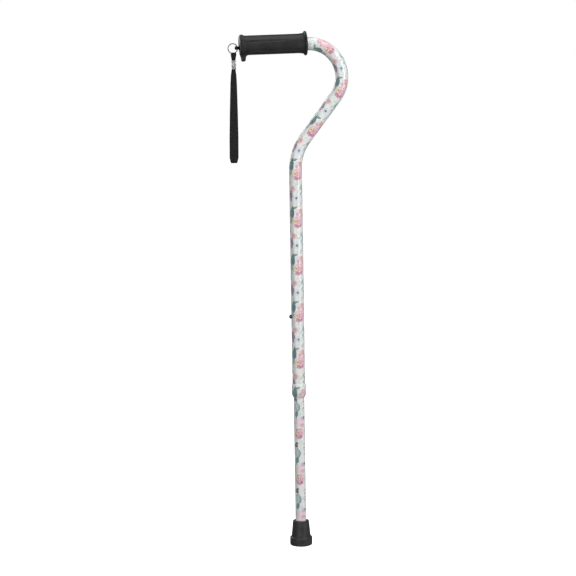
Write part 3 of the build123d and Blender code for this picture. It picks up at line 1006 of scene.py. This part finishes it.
class CANE_OT_grip(bpy.types.Operator):
    """Moulded rubber grip with its finger hook, and the plug in the tube's end"""

    bl_idname = "cane.grip"
    bl_label = "Grip"

    # Each moulded line: degrees above the side, start and end in millimetres, depth at the rear
    CREASES = ((20, 30, 114, 0.35), (-38, 12, 100, 0.7))

    def execute(self, context):
        s = context.scene.cane_grip
        self.settings = s
        self.axes(context.scene.cane_neck)
        grip = self.body(s, context.scene.cane_neck)
        hook = self.hook(s)
        grip.data = self.joined(grip, hook)
        blend = grip.modifiers.new("blend", "REMESH")
        blend.mode = "VOXEL"
        blend.voxel_size = s.voxel
        relax = grip.modifiers.new("relax", "SMOOTH")
        relax.factor = 0.5
        relax.iterations = 3
        apply_modifiers(grip)
        grip.data.shade_smooth()
        rubber = moulded_rubber("grip rubber", s.rubber, 1.6, 0.5)
        finish_piece(grip, "cane_top", rubber, "hand_grip")
        dress("handle_end_plug", moulded_plastic("black plastic", "17181A", "222325", 0.5))
        return {"FINISHED"}

    def axes(self, neck):
        """The handle's own axes, from the end of the upper bend."""
        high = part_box("upper_tube")[1]
        reach = neck.high_radius + neck.tube_radius
        end = pi / 2 + neck.tilt
        run, fall = neck.high_radius * cos(end), neck.high_radius * sin(end)
        self.origin = Vector((high.x - reach + run, 0, high.z - reach + fall))
        self.forward = Vector((-cos(neck.tilt), 0, -sin(neck.tilt)))
        self.up = Vector((-sin(neck.tilt), 0, cos(neck.tilt)))
        self.rear, self.front = self.settings.rear / MM, self.settings.front / MM

    def at(self, along, up, side):
        """A point from millimetres along the handle, above its axis and to one side."""
        return self.origin + (self.forward * along + self.up * up + Vector((0, side, 0))) * MM

    def outline(self, s, neck):
        """Half section of the grip, as distance along the handle and radius, round its wall."""
        body, rear, front = s.radius / MM, s.rear_rim / MM, s.front_rim / MM
        clearance = 0.3
        bore = neck.tube_radius / MM + clearance
        start, end = self.rear, self.front
        line = [(start, bore), (start, rear - 1.4), (start + 0.5, rear - 0.4)]
        line += [(start + 2, rear), (start + 3.4, rear - 0.5), (start + 4, rear - 1.6)]
        step = [(start + 4.2, rear - 2.4), (start + 5.6, body + 0.9), (start + 13, body)]
        line += softened(step)
        count = 60
        run = end - 11.5 - start - 14
        line += [(start + 14 + run * i / count, body) for i in range(1, count + 1)]
        line += softened([(end - 10.5, body), (end - 8, body + 0.1), (end - 6, front)])
        rim = [(end - 4.6, front), (end - 2.4, front), (end - 0.4, front - 1.6)]
        line += softened(rim + [(end, front - 4.2)])
        stud, wall = 2.9, 4.5
        line += [(end, 8.0), (end, stud), (end - wall, stud), (end - wall, bore)]
        return line

    def body(self, s, neck):
        """Turned body with two moulded lines along each side."""
        line = self.outline(s, neck)
        steps = 120
        sections = []
        for i in range(steps):
            turn = 2 * pi * i / steps
            section = []
            for along, radius in line:
                shaped = radius - self.crease(along, radius, turn)
                lift = (s.lift + s.rise * (along - self.rear) / (self.front - self.rear)) / MM
                section.append(self.at(along, lift + shaped * sin(turn), shaped * cos(turn)))
            sections.append(section)
        return lofted("hand_grip_rubber", sections, closed=True)

    def crease(self, along, radius, turn):
        """Depth of the moulded lines at a point of the outer skin, in millimetres."""
        if radius < self.settings.radius / MM - 1:
            return 0.0
        side = atan2(sin(turn), abs(cos(turn)))
        line_width, rear_fade, front_fade, deepens_at, deepens_over = 0.95, 12, 4, 70, 16
        cut = 0.0
        for degrees, rear_end, front_end, rear_share in self.CREASES:
            across = (side - radians(degrees)) * radius
            fade = min(held((along - rear_end) / rear_fade), held((front_end - along) / front_fade))
            strength = rear_share + (1 - rear_share) * held((along - deepens_at) / deepens_over)
            cut += strength * fade / (1 + (across / line_width) ** 4)
        return cut * self.settings.crease_depth / MM

    def hook(self, s):
        """Finger hook: a rounded slab under the free end."""
        thick, deep, end = s.hook_thickness / MM, s.hook_depth / MM, self.front
        tip = deep - thick / 2
        face, back = end - 2.4, end - 2.4 - thick
        line = [(end - 1.2, 4), (end - 0.3, -6), (end - 0.9, -13), (face + 0.3, -tip + 3)]
        line += arc((face - thick / 2, -tip), thick / 2, 0, -180, 12)
        line += [(back, -19.2), (back - 0.6, -17.2), (back - 2.0, -15.6), (back - 4.8, -14.3)]
        line += [(back - 9.5, -13.2), (back - 9.5, 4)]
        half = s.hook_width / 2 / MM
        sections = [[self.at(a, u, side) for a, u in line] for side in (-half, half)]
        hook = lofted("hook_block", sections)
        rounding = 2.6 * MM

        def round_edges(work):
            sides = [f for f in work.faces if len(f.verts) == len(line)]
            edges = list({e for f in sides for e in f.edges})
            bmesh.ops.bevel(
                work, geom=edges, offset=rounding, segments=4, profile=0.5, affect="EDGES"
            )

        reshape(hook.data, round_edges)
        return hook

    def joined(self, first, second):
        """One mesh of both, the second object removed."""
        work = bmesh.new()
        work.from_mesh(first.data)
        work.from_mesh(second.data)
        mesh = bpy.data.meshes.new("hand_grip_rubber")
        work.to_mesh(mesh)
        work.free()
        bpy.data.objects.remove(second)
        return mesh


class CANE_OT_ring(bpy.types.Operator):
    """Strap eye and split ring"""

    bl_idname = "cane.ring"
    bl_label = "Ring"

    def execute(self, context):
        s = context.scene.cane_strap
        low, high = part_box("split_ring")
        centre = (low + high) / 2
        wire, thick = s.wire, (high.y - low.y) / 2 - 0.03 * MM
        mean = (high.x - low.x - wire) / 2
        steps, sides, turns, start = 220, 12, 1.93, radians(150)
        # Shares of the wire's length: where and how fast it crosses over, how fast an end widens
        crossing, crossing_run, end_run = 0.44, 0.12, 0.012
        # Share of the wire's full width at its very ends
        end_least = 0.35
        sections = []
        for i in range(steps + 1):
            part = i / steps
            turn = start + 2 * pi * turns * part
            step = held((part - crossing) / crossing_run)
            middle = (step * step * (3 - 2 * step) - 0.5) * thick
            end = min(1.0, min(part, 1 - part) / end_run + end_least)
            section = []
            for j in range(sides):
                a = 2 * pi * (j + 0.5) / sides
                radius = mean + wire / 2 * self.squared(cos(a)) * end
                deep = middle + thick / 2 * self.squared(sin(a)) * 0.97
                section.append(centre + Vector((radius * cos(turn), deep, radius * sin(turn))))
            sections.append(section)
        ring = lofted("split_ring_wire", sections)
        shade_smooth(ring, 50)
        steel = metal("bright ring", "504E4B", "84827D", 0.24)
        finish_piece(ring, "key_ring", steel, "split_ring")
        dress("strap_eye", metal("black oxide steel", "1B1B1D", "3A3A3D", 0.34))
        return {"FINISHED"}

    def squared(self, value):
        """Flattens a circle's side towards a square's."""
        return abs(value) ** 0.6 * (1 if value > 0 else -1)


class CANE_OT_strap(bpy.types.Operator):
    """Webbing strap and its crimp"""

    bl_idname = "cane.strap"
    bl_label = "Strap"

    def execute(self, context):
        s = context.scene.cane_strap
        self.ring_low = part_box("split_ring")[0]
        self.crimp_low, self.crimp_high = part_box("strap_crimp")
        self.strap_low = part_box("wrist_strap")[0]
        self.middle = (self.crimp_low.x + self.crimp_high.x) / 2
        strap, flat_length = self.webbing(s)
        nylon = woven_nylon("nylon webbing", tuple(s.webbing))
        finish_piece(strap, "strap", nylon, "wrist_strap")
        crimp = self.crimp(s)
        bright = metal("bright crimp", "64625E", "ACAAA4", 0.28)
        finish_piece(crimp, "strap", bright, "strap_crimp")
        2 * s.half_width
        return {"FINISHED"}

    def route(self, s):
        """The webbing's middle line as (y, z): down from the crimp, round the fold, up and over."""
        thick, gap = s.thickness, s.layer_gap / 2
        top, low = self.crimp_high.z, self.crimp_low.z
        foot = self.strap_low.z
        layer = thick * 1.06
        wire_top = self.ring_low.z + s.wire
        wire_middle = wire_top - s.wire / 2
        loop = 1.5 * MM + thick / 2
        hanging = [(1.1, low - 12 * MM), (0.95, low - 60 * MM), (1.25, foot + 30 * MM)]
        hanging += [(1.15, foot + 8 * MM), (1.1, foot + 1.6 * MM)]
        round_ring = [(1.05, wire_middle - 4.5 * MM), (0.95, wire_middle - 0.6 * MM)]
        line = [(-layer, top - 0.8 * MM), (-layer, low)]
        line += [(-gap * out, z) for out, z in hanging]
        line += [(0, foot + thick * 0.5)]
        line += [(gap * out, z) for out, z in reversed(hanging)]
        line += [(layer, low), (layer, top)]
        line += [(loop * out, z) for out, z in round_ring]
        line += [(0, wire_top + thick * 0.62)]
        line += [(-loop * out, z) for out, z in reversed(round_ring)]
        line += [(-0.05 * MM, top), (0, low + 1.2 * MM)]
        return line

    def resampled(self, line, spacing):
        """Points an even distance apart along a softened line, and their distances."""
        fine = softened(line, 4)
        kept, marks, along, due = [fine[0]], [0.0], 0.0, spacing
        for a, b in zip(fine, fine[1:]):
            piece = sqrt((b[0] - a[0]) ** 2 + (b[1] - a[1]) ** 2)
            while piece > 0 and along + piece >= due:
                t = (due - along) / piece
                kept.append((a[0] + (b[0] - a[0]) * t, a[1] + (b[1] - a[1]) * t))
                marks.append(due)
                due += spacing
            along += piece
        kept.append(fine[-1])
        marks.append(along)
        return kept, marks

    def half_width(self, s, z):
        """Half the webbing's width at a height: gathered in the crimp and drawn in at the foot."""
        stops = [
            (self.strap_low.z, 5.0 * MM),
            (self.strap_low.z + 2.5 * MM, 5.9 * MM),
            (self.strap_low.z + 9 * MM, s.half_width),
            (self.strap_low.z + 45 * MM, s.half_width),
            (self.crimp_low.z - 70 * MM, s.half_width - 0.9 * MM),
            (self.crimp_low.z - 26 * MM, s.neck_half + 2.4 * MM),
            (self.crimp_low.z - 10 * MM, s.neck_half + 1.5 * MM),
            (self.crimp_low.z, s.neck_half),
            (self.crimp_high.z, s.neck_half),
            (self.crimp_high.z + 10.5 * MM, s.loop_half),
            (self.ring_low.z + 0.8 * MM, s.loop_half - 0.4 * MM),
            (self.ring_low.z + 2.4 * MM, 3.1 * MM),
        ]
        if z <= stops[0][0]:
            return stops[0][1]
        for (z0, w0), (z1, w1) in zip(stops, stops[1:]):
            if z <= z1:
                return w0 + (w1 - w0) * (z - z0) / (z1 - z0)
        return stops[-1][1]

    def webbing(self, s):
        """The strap as one closed ribbon with rounded edges, and its length laid flat."""
        spacing, cup_deepest, cup_in_loop = 0.9 * MM, 0.9 * MM, 0.35 * MM
        ripple_depth = 0.03 * MM
        line, marks = self.resampled(self.route(s), spacing)
        loop = [(u, 1) for u in (-1, -0.96, -0.8, -0.5, -0.2, 0.2, 0.5, 0.8, 0.96, 1)]
        loop += [(u, -1) for u, _ in reversed(loop)]
        drop = self.ring_low.z - self.strap_low.z
        cord_width = 1.15 * MM
        sections = []
        for i, (y, z) in enumerate(line):
            run = heading(line, i)
            normal = Vector((run.y, -run.x))
            half = self.half_width(s, z)
            gather = 1 - (half - s.neck_half) / (s.half_width - s.neck_half)
            below = z < self.crimp_low.z
            in_crimp = self.crimp_low.z - 2 * MM < z < self.crimp_high.z + 1 * MM
            cup = 0.0 if in_crimp else (cup_deepest * gather if below else cup_in_loop)
            sway = -s.sway * max(0.0, (self.ring_low.z - z) / drop)
            section = []
            for u, face in loop:
                thick = s.thickness / 2 * (1 if abs(u) < 0.9 else 0.82 if abs(u) < 0.99 else 0.4)
                ripple = ripple_depth * cos(u * half / cord_width * 2 * pi) * face
                off = face * thick + (ripple if abs(u) < 0.9 else 0)
                point_y = y + normal.x * off + cup * u * u
                point_z = z + normal.y * off
                section.append(Vector((self.middle + sway + u * half, point_y, point_z)))
            sections.append(section)
        made = lofted("wrist_strap_webbing", sections)
        shade_smooth(made, 60)
        self.cloth_map(made, loop, marks, s)
        return made, marks[-1]

    def cloth_map(self, made, loop, marks, s):
        """Flat coordinates of the webbing in metres: across from its middle, and along."""
        layer = made.data.uv_layers.new(name="cloth")
        size = len(loop)
        for corner in made.data.loops:
            row, column = divmod(corner.vertex_index, size)
            layer.data[corner.index].uv = (loop[column][0] * s.half_width, marks[row])

    def crimp(self, s):
        """Ferrule of folded sheet: two lobes that meet at a seam down the front."""
        low, high = self.crimp_low, self.crimp_high
        half_x, half_y = (high.x - low.x) / 2, (high.y - low.y) / 2
        wall = s.crimp_wall
        x, y = half_x - wall / 2, half_y - wall / 2
        right = [(0.07 * x, -0.72 * y), (0.14 * x, -0.9 * y), (0.34 * x, -y), (0.62 * x, -y)]
        right += [(0.92 * x, -0.86 * y), (x, -0.4 * y), (x, 0.4 * y), (0.92 * x, 0.86 * y)]
        right += [(0.5 * x, y), (0, y)]
        right = softened(right)
        line = right + [(-a, b) for a, b in reversed(right[:-1])]
        inner, outer = [], []
        for i, (a, b) in enumerate(line):
            run = heading(line, i)
            outer.append((a + run.y * wall / 2, b - run.x * wall / 2))
            inner.append((a - run.y * wall / 2, b + run.x * wall / 2))
        loop = outer + inner[::-1]
        rows, waist = 15, 0.05
        sections = []
        for i in range(rows + 1):
            part = i / rows
            pinch = 1 - waist * sin(pi * part) ** 2
            z = low.z + (high.z - low.z) * part
            sections.append([Vector((self.middle + a, b * pinch, z)) for a, b in loop])
        made = lofted("strap_crimp_ferrule", sections)
        shade_smooth(made, 35)
        return made


class CANE_OT_tip(bpy.types.Operator):
    """Rubber tip and the washer in it"""

    bl_idname = "cane.tip"
    bl_label = "Tip"

    def execute(self, context):
        tint = context.scene.cane_grip.tip_rubber
        dress("rubber_tip", moulded_rubber("tip rubber", tint, 2.2, 0.42))
        dress("tip_washer", metal("zinc washer", "8E9294", "B4B8BA", 0.4))
        return {"FINISHED"}


class CANE_PT_panel(bpy.types.Panel):
    """Buttons for each group of pieces"""

    bl_label = "Cane"
    bl_idname = "CANE_PT_panel"
    bl_space_type = "VIEW_3D"
    bl_region_type = "UI"
    bl_category = "Cane"

    def draw(self, context):
        for step in STEPS:
            self.layout.operator(step.bl_idname)


GROUPS = {
    "cane_print": CanePrint,
    "cane_neck": CaneNeck,
    "cane_grip": CaneGrip,
    "cane_strap": CaneStrap,
    "cane_stage": CaneStage,
}
STEPS = (
    CANE_OT_stage,
    CANE_OT_tubes,
    CANE_OT_grip,
    CANE_OT_ring,
    CANE_OT_strap,
    CANE_OT_tip,
)


def register():
    for group in (*GROUPS.values(), *STEPS, CANE_PT_panel):
        bpy.utils.register_class(group)
    for name, group in GROUPS.items():
        setattr(bpy.types.Scene, name, PointerProperty(type=group))


def unregister():
    for name in GROUPS:
        delattr(bpy.types.Scene, name)
    for group in reversed((*GROUPS.values(), *STEPS, CANE_PT_panel)):
        bpy.utils.unregister_class(group)


def main():
    register()
    for step in STEPS:
        module, name = step.bl_idname.split(".")
        getattr(getattr(bpy.ops, module), name)()


if __name__ == "__main__":
    main()
